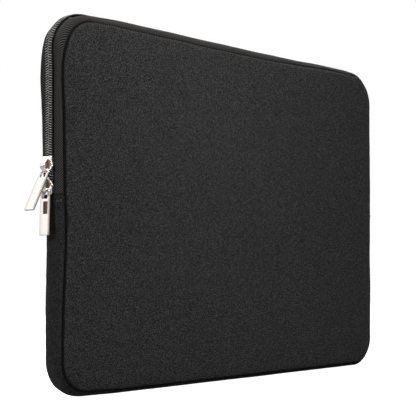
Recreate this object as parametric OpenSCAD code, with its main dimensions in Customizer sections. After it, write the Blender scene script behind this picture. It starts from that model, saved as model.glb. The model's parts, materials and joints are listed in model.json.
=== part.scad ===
// Padded neoprene laptop sleeve with a two-slider coil zip.
// Frame: origin on the flat of the bottom edge, +Z up, +X to the right seen from the front,
// the front panel faces -Y. The zip runs up the left side, over the top and down the right side.

/* [Sleeve] */
// Width of the front panel, seam to seam
panel_w = 320; // [280:1:400]
// Height of the front panel, seam to seam
panel_h = 230; // [215:1:280]
// Radius of the two top corners at the seam
corner_top = 22; // [20:1:34]
// Radius of the two bottom corners at the seam
corner_bottom = 20; // [18:1:30]
// Half the distance between the front and rear seams
half_depth = 9.2; // [8.8:0.1:10]
// Thickness of the neoprene panels
panel_t = 4; // [3.5:0.1:4.2]
// How far the panel face stands in front of its seam
panel_proud = 2; // [1.5:0.1:2.4]
// Radius that rolls the panel edge into the seam
panel_roll = 2.5; // [1.5:0.1:2.5]
// Thickness of the plush lining
lining_t = 0.7; // [0.5:0.1:0.7]

/* [Lower gusset] */
// Height of the gusset crown over the seam line
gusset_crown = 3.6; // [3:0.1:4.2]
// Depth of the flat that the sleeve stands on, cut into the crown
foot_cut = 0.8; // [0.5:0.1:1.2]
// Height of the end tab's lower edge over the bottom seam
tab_low = 116.4; // [100:0.1:117]
// Height of the end tab
tab_h = 4.6; // [3:0.1:4.6]

/* [Zip] */
// Thickness of the woven zip tape
tape_t = 0.7; // [0.5:0.1:0.7]
// Height of the tape over the seam line at the chain
tape_crown = 3.1; // [3:0.1:3.2]
// Width of the closed chain
chain_w = 6.2; // [5.8:0.1:6.4]
// Height of the coil over the tape
coil_h = 1.8; // [1.7:0.1:2]
// Free gap between the two coils, which the slider's wedge runs in
coil_gap = 1.3; // [1.2:0.1:1.5]
// Diameter of the filler cord inside each coil
cord_d = 0.8; // [0.6:0.1:0.9]

/* [Sliders] */
// Length of a slider body along the chain
slider_l = 11.7; // [11:0.1:12]
// Width of a slider body at its tail
slider_w = 8.6; // [8.4:0.1:9]
// Width of the slider over its shoulders
head_w = 10.6; // [10.2:0.1:10.8]
// Width of the crown that holds the pull
crown_w = 4.4; // [4:0.1:4.6]
// Length of the crown
crown_l = 8.6; // [8.4:0.1:8.8]
// Height of the crown over the slider's top plate
crown_h = 3.9; // [3.7:0.1:3.9]
// Height of the lower slider's centre over the bottom seam
lower_slider_z = 127.05; // [127.05:0.05:130]
// Gap between the two slider heads when both are parked
slider_gap = 0.2; // [0.2:0.1:1]

/* [Pulls] */
// Width of a pull
pull_w = 8.6; // [8:0.1:9]
// Length of a pull from its bar to its free end
pull_l = 27.8; // [24:0.1:32]
// Thickness of a pull's blade
pull_t = 1.6; // [1.2:0.1:1.6]
// Depth of the sunk field in one face of a pull
recess_d = 0.9; // [0.3:0.1:1]
// Width of the sunk field
recess_w = 4.2; // [3:0.1:4.6]
// How far the sunk field sits off the pull's centre line
recess_off = 1.2; // [0:0.1:1.4]
// Angle of the upper pull away from the sleeve
upper_pull_angle = 26.5; // [26.5:0.5:32]
// Angle of the lower pull away from the sleeve
lower_pull_angle = 1.5; // [1:0.5:12]

/* [Hidden] */
$fn = 64;

neoprene_color = [0.14, 0.14, 0.15];
lining_color = [0.22, 0.22, 0.23];
gusset_color = [0.15, 0.15, 0.16];
binding_color = [0.05, 0.05, 0.05];
tape_color = [0.2, 0.19, 0.18];
coil_color = [0.1, 0.1, 0.1];
cord_color = [0.05, 0.05, 0.05];
tab_color = [0.12, 0.11, 0.12];

gap = 0.05;                            // clearance between neighbouring pieces
z_seam = gusset_crown - foot_cut;      // bottom seam over the ground
z_top = z_seam + panel_h;              // top seam
x_side = panel_w / 2;                  // side seams
z_bottom_arc = z_seam + corner_bottom; // centres of the bottom corners
z_top_arc = z_top - corner_top;        // centres of the top corners
z_tab = z_seam + tab_low;              // lower edge of the end tabs
z_zip = z_tab + tab_h;                 // upper edge of the end tabs
z_chain = z_zip + 2 * gap;             // where the coils start

panel_out = half_depth + panel_proud;
panel_in = panel_out - panel_t;
lining_in = panel_in - gap - lining_t;

// ---------- runs round the perimeter ----------
// Children are a 2D profile, x outward from the seam line and y towards the rear.
module both_sides() {
    children();
    mirror([1, 0, 0]) children();
}
module right_run(z0, z1) translate([x_side, 0, z0]) linear_extrude(z1 - z0) children();
module side_runs(z0, z1) both_sides() right_run(z0, z1) children();
module top_right() translate([x_side - corner_top, 0, z_top_arc])
    rotate([0, -90, 0]) rotate([-90, 0, 0])
    rotate_extrude(angle = 90) translate([corner_top, 0]) children();
module bottom_right() translate([x_side - corner_bottom, 0, z_bottom_arc])
    rotate([-90, 0, 0]) rotate_extrude(angle = 90) translate([corner_bottom, 0]) children();
module top_arch() {
    both_sides() top_right() children();
    translate([x_side - corner_top, 0, z_top]) rotate([0, -90, 0])
        linear_extrude(panel_w - 2 * corner_top) children();
}
module bottom_arch() {
    both_sides() bottom_right() children();
    translate([corner_bottom - x_side, 0, z_seam]) rotate([0, 90, 0])
        linear_extrude(panel_w - 2 * corner_bottom) children();
}

module zip_path(z0) {
    side_runs(z0, z_top_arc) children();
    top_arch() children();
}
module lower_path(z1) {
    side_runs(z_bottom_arc, z1) children();
    bottom_arch() children();
}
module full_path() {
    side_runs(z_bottom_arc, z_top_arc) children();
    top_arch() children();
    bottom_arch() children();
}

// ---------- panels and linings, drawn for the rear and mirrored to the front ----------
rim = 8;                               // width of the swept panel edge
lining_inset = 1;                      // lining edge in from the seam

// Outline of a panel, drawn in from the seam by "inset"
module outline(inset) {
    top_r = corner_top - inset;
    bottom_r = corner_bottom - inset;
    width = panel_w - 2 * inset;
    union() {
        translate([-width / 2, z_bottom_arc])
            square([width, panel_h - corner_bottom - corner_top]);
        translate([-width / 2 + top_r, z_seam + inset])
            square([width - 2 * top_r, panel_h - 2 * inset]);
        translate([-width / 2 + bottom_r, z_seam + inset])
            square([width - 2 * bottom_r, corner_bottom]);
        for (side = [-1, 1]) {
            translate([side * (width / 2 - bottom_r), z_bottom_arc]) circle(bottom_r);
            translate([side * (width / 2 - top_r), z_top_arc]) circle(top_r);
        }
    }
}
// A flat slab of that outline between two depths
module slab(inset, y0, y1)
    translate([0, y1, 0]) rotate([90, 0, 0]) linear_extrude(y1 - y0) outline(inset);

module panel() {
    slab(rim, panel_in, panel_out);
    full_path() {
        translate([-rim, panel_in]) square([rim, panel_out - panel_roll - panel_in]);
        translate([-rim, panel_in]) square([rim - panel_roll, panel_t]);
        translate([-panel_roll, panel_out - panel_roll]) intersection() {
            circle(panel_roll);
            square(panel_roll);
        }
    }
}
module front_panel() color(neoprene_color) mirror([0, 1, 0]) panel();
module rear_panel() color(neoprene_color) panel();

module lining() slab(lining_inset, lining_in, panel_in - gap);
module front_lining() color(lining_color) mirror([0, 1, 0]) lining();
module rear_lining() color(lining_color) lining();

// ---------- lower gusset and seam bindings ----------
// Gusset section: a circular segment whose chord is the seam line
gusset_r = (half_depth * half_depth + gusset_crown * gusset_crown) / (2 * gusset_crown);
gusset_lining_half = lining_in - 2 * gap;
ground_d = 40;                         // depth of the block that cuts the standing flat
ground_h = 10;                         // its height
binding_w = 1.8;                       // binding size in the plane of the panel
binding_t = 1.1;                       // binding size front to rear

module gusset_section() intersection() {
    translate([gusset_crown - gusset_r, 0]) circle(gusset_r);
    translate([gap, -half_depth]) square([gusset_crown, 2 * half_depth]);
}
module lower_gusset() color(gusset_color) difference() {
    lower_path(z_tab - gap) gusset_section();
    translate([-panel_w, -ground_d / 2, -ground_h]) cube([2 * panel_w, ground_d, ground_h]);
}
module gusset_lining() color(lining_color) lower_path(z_tab - gap)
    translate([-lining_t - gap, -gusset_lining_half])
    square([lining_t, 2 * gusset_lining_half]);

// Strip inside the seam, clear of the panel lining and the gusset lining
module binding() full_path()
    translate([-lining_t - 2 * gap - binding_w, lining_in - gap - binding_t])
    square([binding_w, binding_t]);
module front_seam_binding() color(binding_color) mirror([0, 1, 0]) binding();
module rear_seam_binding() color(binding_color) binding();

// ---------- zip tapes, coils, cords and end tabs ----------
tape_flat = 6.2;                       // half width of the flat band that carries the chain
tape_inner = 1.2;                      // tape's inner edge from the centre plane
coil_base = tape_crown + 0.04;         // underside of the coils
coil_top = coil_base + coil_h;
coil_w = (chain_w - coil_gap) / 2;     // width of one coil
coil_round = 0.6;                      // radius of a coil's two outer edges
coil_step = 0.5;                       // full-height part of a coil, in from each edge
coil_center = [coil_base + coil_h / 2, (chain_w / 2 + coil_gap / 2) / 2];
cord_clear = 0.06;                     // clearance round the cord in its bore
tab_lift = 0.85;                       // outer face of an end tab over the tape's outer face
tab_clear = 0.06;                      // inner face of an end tab over the same face

function reverse(points) = [for (i = [len(points) - 1:-1:0]) points[i]];
function to_front(points) = [for (point = points) [point[0], -point[1]]];

// Section line of one tape from the seam to the flat band, raised by "lift"; [outward, rearward]
function tape_line(lift) = [
    [gap + 0.05, half_depth - 0.1 + lift * 0.9],
    [1.6, half_depth - 0.6 + lift * 0.8],
    [2.6, half_depth - 1.6 + lift * 0.55],
    [tape_crown + lift, tape_flat + lift * 0.2]];

module tape() zip_path(z_tab + gap) polygon(concat(
    tape_line(0),
    [[tape_crown, tape_inner], [tape_crown - tape_t, tape_inner]],
    reverse(tape_line(-tape_t))));
module front_zip_tape() color(tape_color) mirror([0, 1, 0]) tape();
module rear_zip_tape() color(tape_color) tape();

// One coil as a closed D-shaped tube; the cord lies in its bore
module coil_section() difference() {
    union() {
        translate([coil_base, coil_gap / 2]) square([coil_h / 2, coil_w]);
        translate([coil_base, coil_gap / 2 + coil_step]) square([coil_h, coil_w - 2 * coil_step]);
        for (y = [coil_gap / 2 + coil_round, chain_w / 2 - coil_round])
            translate([coil_top - coil_round, y]) circle(coil_round);
        translate([coil_base, coil_gap / 2]) square([coil_h - coil_round, coil_w]);
    }
    translate(coil_center) circle(cord_d / 2 + cord_clear);
}
module coil() zip_path(z_chain) coil_section();
module front_coil() color(coil_color) mirror([0, 1, 0]) coil();
module rear_coil() color(coil_color) coil();

module cord() zip_path(z_chain) translate(coil_center) circle(cord_d / 2);
module front_coil_cord() color(cord_color) mirror([0, 1, 0]) cord();
module rear_coil_cord() color(cord_color) cord();

// Folded fabric tab over each end of the zip
module end_tab() right_run(z_tab + gap, z_zip) {
    outer = tape_line(tab_lift);
    inner = tape_line(tab_clear);
    polygon(concat(outer, to_front(reverse(outer)), to_front(inner), reverse(inner)));
}
module right_end_tab() color(tab_color) end_tab();
module left_end_tab() color(tab_color) mirror([1, 0, 0]) end_tab();

// ---------- sliders: x outward from the seam line, y across the chain, z towards the head ----------
plate_t = 0.9;                         // top plate
bottom_plate_t = 1.2;
bottom_head_cut = 0.6;                 // bottom plate narrower than the top at the shoulders
channel_low = tape_crown - tape_t - 0.3;
channel_top = coil_top + 0.15;
plate_top = channel_top + plate_t;

tail_chamfer = 0.6;
flange_inner = chain_w / 2 + 0.35;     // inner face of the side flanges
flange_w = slider_w / 2 - flange_inner;
flange_l = 6;
low_flange_sink = 1;                   // foot of the lower flange below the channel floor
low_flange_h = 1.1;
top_flange_clear = 0.2;                // upper flange over the tape
wedge_w = 1;
wedge_l = 2.9;
wedge_z = 1.9;                         // tail end of the wedge
wedge_lap = 0.5;                       // wedge sunk into each plate
slot = [3, 1.2, 1.1];                  // opening for the lock pin through the top plate
slot_sink = 1;                         // its start below the channel top

crown_r = 5;                           // radius of the crown's back
crown_lift = 0.02;                     // crown's foot over the top plate
crown_reach = 6;                       // block height, more than the crown's
arch_r = 4.2;                          // opening under the crown
arch_l = 6.8;
arch_shift = 0.1;                      // opening starts this far below the top plate

pin_plate = [0.3, 1.6, 4];             // flat plate over the pin's stem
pin_plate_lift = 1.6;                  // its underside over the top plate
pin_w = 0.9;
pin_l = 0.7;
pin_dip = 0.35;                        // stem's reach below the coil top
pin_lap = 0.2;                         // stem sunk into its plate

upper_slider_z = lower_slider_z + slider_l + slider_gap;

// A profile in y and z, extruded outward
module extrude_out(height) rotate([90, 0, 90]) linear_extrude(height) children();
// A profile in z and x, extruded across the chain from foot level x0
module extrude_across(x0, width) translate([x0, -width / 2, 0]) rotate([0, -90, -90])
    linear_extrude(width) children();

// One side of a plate from its square tail over the flared shoulder to the nose; [y, z]
function plate_side(shoulder_w) = [
    [slider_w / 2 - tail_chamfer, -slider_l / 2],
    [slider_w / 2, -slider_l / 2 + tail_chamfer],
    [slider_w / 2, -1.6],
    [shoulder_w / 2 - 0.2, -0.6],
    [shoulder_w / 2, 0],
    [shoulder_w / 2 - 0.2, 0.5],
    [0.36 * shoulder_w, 2.1],
    [0.2 * shoulder_w, 3.6],
    [1, slider_l / 2 - 0.7],
    [0.4, slider_l / 2 - 0.1]];
module plate(x0, thickness, shoulder_w) translate([x0, 0, 0]) extrude_out(thickness) {
    side = plate_side(shoulder_w);
    polygon(concat(side, [[0, slider_l / 2]],
                   [for (point = reverse(side)) [-point[0], point[1]]]));
}
module slider_body() color("silver") difference() {
    union() {
        plate(channel_top, plate_t, head_w);
        plate(channel_low - bottom_plate_t, bottom_plate_t, head_w - bottom_head_cut);
        for (y = [-slider_w / 2, flange_inner]) {
            translate([channel_low - low_flange_sink, y, -slider_l / 2 + tail_chamfer])
                cube([low_flange_h, flange_w, flange_l]);
            translate([tape_crown + top_flange_clear, y, -slider_l / 2 + tail_chamfer])
                cube([channel_top - tape_crown, flange_w, flange_l]);
        }
        translate([channel_low - wedge_lap, -wedge_w / 2, wedge_z])
            cube([channel_top - channel_low + 2 * wedge_lap, wedge_w, wedge_l]);
    }
    translate([channel_top - slot_sink, -slot[1] / 2, -slot[2] / 2]) cube(slot);
}

// Circle of "radius" about "center" on the y axis, kept above y = 0 and within "length"
module arch(radius, center, length) intersection() {
    translate([0, center]) circle(radius);
    translate([-length / 2, 0]) square([length, crown_reach]);
}
// Domed block with rounded ends, hollowed by an arched opening across the chain
module slider_crown() color("silver") difference() {
    intersection() {
        extrude_across(plate_top + crown_lift, crown_w) arch(crown_r, crown_h - crown_r, crown_l);
        translate([plate_top, 0, 0]) extrude_out(crown_reach) union() {
            translate([-crown_w / 2, -(crown_l - crown_w) / 2])
                square([crown_w, crown_l - crown_w]);
            for (end = [-1, 1]) translate([0, end * (crown_l - crown_w) / 2]) circle(crown_w / 2);
        }
    }
    extrude_across(plate_top - arch_shift, 2 * crown_w)
        arch(arch_r, crown_h - crown_r + arch_shift, arch_l);
}
module lock_pin() color("gray") union() {
    translate([plate_top + pin_plate_lift, -pin_plate[1] / 2, -pin_plate[2] / 2])
        cube(pin_plate);
    translate([coil_top - pin_dip, -pin_w / 2, -pin_l / 2])
        cube([plate_top + pin_plate_lift + pin_lap - coil_top + pin_dip, pin_w, pin_l]);
}

// Both sliders sit on the left side, head to head
module on_left(z) translate([-x_side, 0, z_seam + z]) mirror([1, 0, 0]) children();
module upper_place() on_left(upper_slider_z) mirror([0, 0, 1]) children();
module lower_place() on_left(lower_slider_z) children();

module upper_slider_body() upper_place() slider_body();
module upper_slider_crown() upper_place() slider_crown();
module upper_lock_pin() upper_place() lock_pin();
module lower_slider_body() lower_place() slider_body();
module lower_slider_crown() lower_place() slider_crown();
module lower_lock_pin() lower_place() lock_pin();

// ---------- pulls ----------
bar_out = plate_top + 0.9;             // bar's axis outward from the seam line
bar_drop = 2.7;                        // bar's axis below the slider's centre
bar_r = 0.6;
bar_short = 1;                         // bar shorter than the pull's width
eye_l = 5.6;                           // length of the window in a pull
eye_w = 5;                             // its width
leg_w = (pull_w - eye_w) / 2;
leg_r = 0.7;                           // half the legs' thickness and their rounded tops
leg_lap = 0.5;                         // legs sunk into the blade
recess_z = -14.9;                      // lower end of the sunk field
recess_l = 7.8;
recess_over = 1;                       // cutter's reach beyond the face

// A pull hanging along -z from its bar, sunk field in the face towards -x
module pull() color("silver") {
    rotate([90, 0, 0]) cylinder(h = pull_w - bar_short, r = bar_r, center = true);
    difference() {
        union() {
            for (y = [-1, 1] * (pull_w - leg_w) / 2) {
                translate([-leg_r, y - leg_w / 2, -eye_l - leg_lap])
                    cube([2 * leg_r, leg_w, eye_l + leg_lap]);
                translate([0, y, 0]) rotate([90, 0, 0])
                    cylinder(h = leg_w, r = leg_r, center = true);
            }
            translate([-pull_t / 2, -pull_w / 2, -pull_l]) cube([pull_t, pull_w, pull_l - eye_l]);
        }
        translate([-pull_t / 2 - recess_over, -recess_off - recess_w / 2, recess_z])
            cube([recess_over + recess_d, recess_w, recess_l]);
    }
}
module pull_place(slider_z, angle, turn = 0)
    translate([-x_side - bar_out, 0, z_seam + slider_z - bar_drop])
    rotate([0, angle, 0]) rotate([0, 0, turn]) pull();
// The upper pull hangs the other way round, its sunk field towards the sleeve
module upper_pull() pull_place(upper_slider_z, upper_pull_angle, turn = 180);
module lower_pull() pull_place(lower_slider_z, lower_pull_angle);

front_panel();
rear_panel();
front_lining();
rear_lining();
lower_gusset();
gusset_lining();
front_seam_binding();
rear_seam_binding();
front_zip_tape();
rear_zip_tape();
front_coil();
rear_coil();
front_coil_cord();
rear_coil_cord();
left_end_tab();
right_end_tab();
upper_slider_body();
upper_slider_crown();
upper_lock_pin();
upper_pull();
lower_slider_body();
lower_slider_crown();
lower_lock_pin();
lower_pull();
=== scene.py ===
"""A padded sleeve with a zip round three of its sides, built over its CAD pieces.

It stands upright on its lower gusset, on z = 0. x runs from left (-) to right (+), y from the
front panel (-) to the rear panel (+), z up. The zip climbs the left side, crosses the top and
comes down the right side. Both sliders are parked on the left side, nose to nose.
Lengths are in millimetres until a mesh is made; the floor, lights and camera are in metres.
"""

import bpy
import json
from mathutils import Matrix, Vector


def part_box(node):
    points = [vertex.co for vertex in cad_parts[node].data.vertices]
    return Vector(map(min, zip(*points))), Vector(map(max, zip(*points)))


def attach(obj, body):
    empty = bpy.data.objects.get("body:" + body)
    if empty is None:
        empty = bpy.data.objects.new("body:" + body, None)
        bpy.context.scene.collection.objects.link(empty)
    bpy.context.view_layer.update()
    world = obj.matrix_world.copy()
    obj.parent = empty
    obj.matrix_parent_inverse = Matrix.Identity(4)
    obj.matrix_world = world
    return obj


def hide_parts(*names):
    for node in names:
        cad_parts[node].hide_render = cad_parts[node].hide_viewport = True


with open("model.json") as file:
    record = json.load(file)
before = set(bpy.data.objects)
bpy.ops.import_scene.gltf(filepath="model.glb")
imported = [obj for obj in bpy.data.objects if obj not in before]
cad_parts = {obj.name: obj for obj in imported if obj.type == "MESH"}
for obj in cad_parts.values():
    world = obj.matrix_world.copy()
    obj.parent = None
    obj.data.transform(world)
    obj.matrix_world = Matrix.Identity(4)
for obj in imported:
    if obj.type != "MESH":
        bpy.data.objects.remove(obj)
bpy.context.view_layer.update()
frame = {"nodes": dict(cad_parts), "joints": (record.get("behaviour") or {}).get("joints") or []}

import json
import math

import bmesh
import bpy
import numpy as np
from mathutils import Quaternion, Vector

MM = 0.001
PANEL_SIDES = (("front", -1), ("rear", 1))    # name, sign of y


# ---------------------------------------------------------------- sizes from the CAD frame
def box_mm(node):
    low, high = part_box(node)
    return np.array(low) * 1000, np.array(high) * 1000


low, high = box_mm("front_panel")
HALF_W = float(high[0])                        # half width at the seam
BOTTOM, TOP = float(low[2]), float(high[2])    # height of the bottom and top seams
FACE_Y = -float(low[1])                        # outer face of a panel
FOAM_Y = FACE_Y - 4.0                          # inner face of its foam
SEAM_Y = FACE_Y - 2.0                          # half depth at the seam
R_TOP, R_BOTTOM = 22.0, 20.0                   # corner radii at the seam

# centres of the corners, as (x, z)
X_TOP, X_BOTTOM = HALF_W - R_TOP, HALF_W - R_BOTTOM
Z_HIGH, Z_LOW = TOP - R_TOP, BOTTOM + R_BOTTOM
TOP_LEFT, TOP_RIGHT = (-X_TOP, Z_HIGH), (X_TOP, Z_HIGH)
BOTTOM_LEFT, BOTTOM_RIGHT = (-X_BOTTOM, Z_LOW), (X_BOTTOM, Z_LOW)

low, high = box_mm("left_end_tab")
TAB_LOW, TAB_TOP = float(low[2]), float(high[2])
# heights outward from the seam outline
TAPE_H = float(box_mm("front_zip_tape")[1][0]) - HALF_W
COIL_H = float(box_mm("front_coil")[1][0]) - HALF_W

low, high = box_mm("upper_slider_body")
SLIDER_L = float(high[2] - low[2])
PLATE_TOP = -float(low[0]) - HALF_W
NOSE_HALF_W = float(high[1])
SLIDER_Z = {"upper": float(low[2] + high[2]) / 2}
low, high = box_mm("lower_slider_body")
SLIDER_Z["lower"] = float(low[2] + high[2]) / 2
NOSE_Z = (SLIDER_Z["upper"] + SLIDER_Z["lower"]) / 2    # midway between the two noses
JOINTS = {joint["name"]: joint for joint in frame["joints"]}


# ---------------------------------------------------------------- soft deformation
def ease(t):
    t = np.clip(t, 0, 1)
    return t * t * (3 - 2 * t)


def waves(seed, count, shortest, longest):
    """A random field of plane waves with lengths between shortest and longest."""
    rng = np.random.RandomState(seed)
    length = shortest * (longest / shortest) ** rng.rand(count)
    heading = rng.rand(count) * 2 * math.pi
    phase = rng.rand(count) * 2 * math.pi
    kx = np.cos(heading) * 2 * math.pi / length
    kz = np.sin(heading) * 2 * math.pi / length
    size = (length / longest) ** 0.8
    size = size / math.sqrt((size ** 2).sum() / 2)

    def field(x, z):
        total = np.zeros(np.shape(x))
        for a, b, c, p in zip(kx, kz, size, phase):
            total = total + c * np.sin(a * x + b * z + p)
        return total
    return field


# Each table has a row of stations, then a row of offsets there.
# by z: added to the half depth
DEPTH_BY_Z = (
    [0, 32, 50, 66, 92, 110, 118, 127, 138, 152, 188, 206, 240],
    [-1.9, -1.8, -1.4, -1.0, -0.7, -0.2, 0.1, 0.2, 0.4, 0.65, 0.8, 1.0, 1.0])
# by z: outward at the left seams, which stay in where the zip domes over the upper corner
LEFT_SEAM_BY_Z = (
    [0, 30, 52, 62, 75, 90, 102, 112, 119, 125, 136, 150,
     163, 173, 183, 190, 197, 203, 208, 213, 219, 226, 240],
    [-0.5, -0.5, -0.6, -0.8, -1.3, -1.9, -1.9, -1.5, -0.8, -0.4, 0.0, 0.4,
     0.65, 0.85, 1.35, 1.9, 2.3, 2.1, 1.3, 0.2, -0.5, -0.4, -0.2])
# by z: outward at the left chain, which is straight where the sliders run
LEFT_CHAIN_BY_Z = (
    [0, 30, 52, 62, 75, 90, 102, 112, 118, 122, 202, 212, 225, 240],
    [-0.5, -0.5, -0.6, -0.8, -1.3, -1.7, -1.5, -0.7, -0.2, 0, 0, 0.1, 0.2, 0.2])
# by z: outward on the right side
RIGHT_BY_Z = (
    [0, 30, 60, 87, 115, 143, 171, 200, 240],
    [0.2, -0.1, -0.1, -0.8, -1.0, -1.1, -1.2, -1.2, -1.0])
# by x: upward at the top edge
TOP_EDGE_BY_X = (
    [-150, -118, -98, -75, -33, 8, 53, 80, 101, 140],
    [0.15, 0.35, 0.45, -0.1, -0.6, -1.15, -0.95, 0.0, 0.8, 0.3])
# by x: how far the zip stands up over its drawn height
ZIP_LIFT_BY_X = (
    [-165, -158, -150, -142, -135, -125, -110, -60, 10, 45, 75, 105, 135],
    [0.7, 1.5, 1.7, 1.3, 1.0, 1.2, 1.7, 1.9, 1.9, 1.5, 0.5, 0.2, 0.4])


def soften(verts):
    """Gives sewn parts their waist, taper and slightly wavy top edge."""
    x, y, z = verts.T
    abs_x, abs_y = np.abs(x), np.abs(y)
    near_side = ease((abs_x - 100) / 52)

    depth = np.interp(z, *DEPTH_BY_Z) * (0.6 + 0.4 * near_side)
    y = y + np.sign(y) * depth * ease((abs_y - 1) / 8)

    seam = ease((abs_y - 5.5) / 2.5)           # 0 at the chain, 1 at the seams
    out_left = (seam * np.interp(z, *LEFT_SEAM_BY_Z)
                + (1 - seam) * np.interp(z, *LEFT_CHAIN_BY_Z))
    left = x - near_side * out_left
    right = x + near_side * np.interp(z, *RIGHT_BY_Z)
    x = np.where(x < 0, left, right)

    # two readings 9 mm apart blunt the kinks of the table; the sine adds a fine ripple
    sag = 0.5 * (np.interp(x, *TOP_EDGE_BY_X) + np.interp(x + 9, *TOP_EDGE_BY_X))
    z = z + ease((z - (TOP - 95)) / 85) * (sag + 0.10 * np.sin(x / 9.5 + 2.1))

    # the lower left corner is a little worn up
    zone_mask = ease((-x - 112) / 24) * (1 - 0.6 * ease((-x - 151) / 6))
    z = z + 0.8 * zone_mask * (1 - ease((z - 3) / 34))
    return np.stack([x, y, z], 1)


def zip_lift(points):
    """How far the zip is domed up over the upper corners and the top, at (x, z) points."""
    x, z = points[:, 0], points[:, 1]
    raised = ease((z - 201) / 20) * (x < 0) + ease((z - 214) / 14) * (x >= 0)
    return np.interp(x, *ZIP_LIFT_BY_X) * raised


def chain_gap(points):
    """How far each half of the chain stands off the middle between the parked noses."""
    bulge = 1.15 * np.exp(-((points[:, 1] - NOSE_Z) / 4.3) ** 2)
    return np.where(points[:, 0] < 0, bulge, 0)


# ---------------------------------------------------------------- parts and pieces
# A part is (verts, faces) or (verts, faces, uvw); uvw is a vector for each vertex,
# which the materials read.
def mesh_object(name, verts, faces, uvw=None, recalc=True):
    mesh = bpy.data.meshes.new(name)
    verts = np.asarray(verts, float) * MM
    mesh.from_pydata(verts.tolist(), [], [list(map(int, face)) for face in faces])
    mesh.update()
    if uvw is not None:
        attribute = mesh.attributes.new("uvw", "FLOAT_VECTOR", "POINT")
        attribute.data.foreach_set("vector", np.asarray(uvw, np.float32).ravel())
    if recalc:
        bm = bmesh.new()
        bm.from_mesh(mesh)
        bmesh.ops.recalc_face_normals(bm, faces=bm.faces)
        bm.to_mesh(mesh)
        bm.free()
    mesh.polygons.foreach_set("use_smooth", [True] * len(mesh.polygons))
    ob = bpy.data.objects.new(name, mesh)
    bpy.context.scene.collection.objects.link(ob)
    return ob


def add_piece(name, part, material, body="sleeve", node=None):
    """Makes a part into an object, which stands in for the CAD node if one is given."""
    ob = mesh_object(name, *part)
    ob.data.materials.append(material)
    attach(ob, body)
    if node:
        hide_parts(node)
    return ob


def add_cast(name, part, material, body, node):
    """A metal piece: flat faces and sharp edges are kept crisp."""
    ob = add_piece(name, part, material, body, node)
    bm = bmesh.new()
    bm.from_mesh(ob.data)
    for face in bm.faces:
        if len(face.verts) != 4:
            face.smooth = False
    for edge in bm.edges:
        if len(edge.link_faces) == 2 and edge.calc_face_angle(0) > math.radians(38):
            edge.smooth = False
    bm.to_mesh(ob.data)
    bm.free()
    ob.data.update()


def softened(part, y_sign=1):
    verts = soften(part[0])
    verts[:, 1] *= y_sign
    return (verts, *part[1:])


def join(parts):
    """Puts parts together as one; a part without uvw gets zeros."""
    verts, faces, uvw, start = [], [], [], 0
    for part in parts:
        count = len(part[0])
        verts.append(part[0])
        faces += [[i + start for i in face] for face in part[1]]
        uvw.append(part[2] if len(part) > 2 else np.zeros((count, 3)))
        start += count
    return np.concatenate(verts), faces, np.concatenate(uvw)


def ring_quad(ring, side, rings, sides):
    """The face between a ring of vertices and the next one, at one side."""
    this, following = ring * sides, (ring + 1) % rings * sides
    far = (side + 1) % sides
    return [this + side, this + far, following + far, following + side]


def end_caps(rings, sides):
    last = (rings - 1) * sides
    return [list(range(sides))[::-1], [last + j for j in range(sides)]]


def tube_faces(rings, sides, closed=False):
    faces = [ring_quad(i, j, rings, sides)
             for i in range(rings if closed else rings - 1) for j in range(sides)]
    return faces if closed else faces + end_caps(rings, sides)


# ---------------------------------------------------------------- runs round the perimeter
# A stretch is its length and a function from distance to (x, z) points and outward normals.
def line(start, heading, outward, length):
    def at(distance):
        points = np.array(start) + np.outer(distance, heading)
        return points, np.tile(np.array(outward, float), (len(distance), 1))
    return length, at


def arc(centre, radius, start_angle, turn, swept=math.pi / 2):
    """turn is 1 for anticlockwise seen from the front, -1 for clockwise."""
    def at(distance):
        angle = start_angle + turn * distance / radius
        normals = np.stack([np.cos(angle), np.sin(angle)], 1)
        return np.array(centre) + radius * normals, normals
    return radius * swept, at


class Run:
    """A chain of stretches in the xz plane."""
    def __init__(self, stretches):
        self.stretches = stretches
        self.length = sum(length for length, _ in stretches)

    def at(self, distance):
        distance = np.asarray(distance, float)
        points, normals = np.zeros((2, len(distance), 2))
        start = 0.0
        for i, (length, stretch_at) in enumerate(self.stretches):
            first, last = i == 0, i == len(self.stretches) - 1
            after = (distance >= start - 1e-9) | first
            before = (distance < start + length) | last
            inside = after & before
            points[inside], normals[inside] = stretch_at(distance[inside] - start)
            start += length
        return points, normals


def over_top(out, z_start):
    """Up the left side from z_start, over the top and down the right, out from the seam."""
    x, radius, side = HALF_W + out, R_TOP + out, Z_HIGH - z_start
    return [line((-x, z_start), (0, 1), (-1, 0), side),
            arc(TOP_LEFT, radius, math.pi, -1),
            line((-X_TOP, TOP + out), (1, 0), (0, 1), 2 * X_TOP),
            arc(TOP_RIGHT, radius, math.pi / 2, -1),
            line((x, Z_HIGH), (0, -1), (1, 0), side)]


def under_bottom(z_start):
    """Down the left side from z_start, under the bottom and up the right side."""
    side = z_start - Z_LOW
    return [line((-HALF_W, z_start), (0, -1), (-1, 0), side),
            arc(BOTTOM_LEFT, R_BOTTOM, math.pi, 1),
            line((-X_BOTTOM, BOTTOM), (1, 0), (0, -1), 2 * X_BOTTOM),
            arc(BOTTOM_RIGHT, R_BOTTOM, -math.pi / 2, 1),
            line((HALF_W, Z_LOW), (0, 1), (1, 0), side)]


def all_round():
    """The whole perimeter, clockwise from the lower end of the left side."""
    return over_top(0, Z_LOW) + [
        arc(BOTTOM_RIGHT, R_BOTTOM, 0, -1),
        line((X_BOTTOM, BOTTOM), (-1, 0), (0, -1), 2 * X_BOTTOM),
        arc(BOTTOM_LEFT, R_BOTTOM, -math.pi / 2, -1)]


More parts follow.
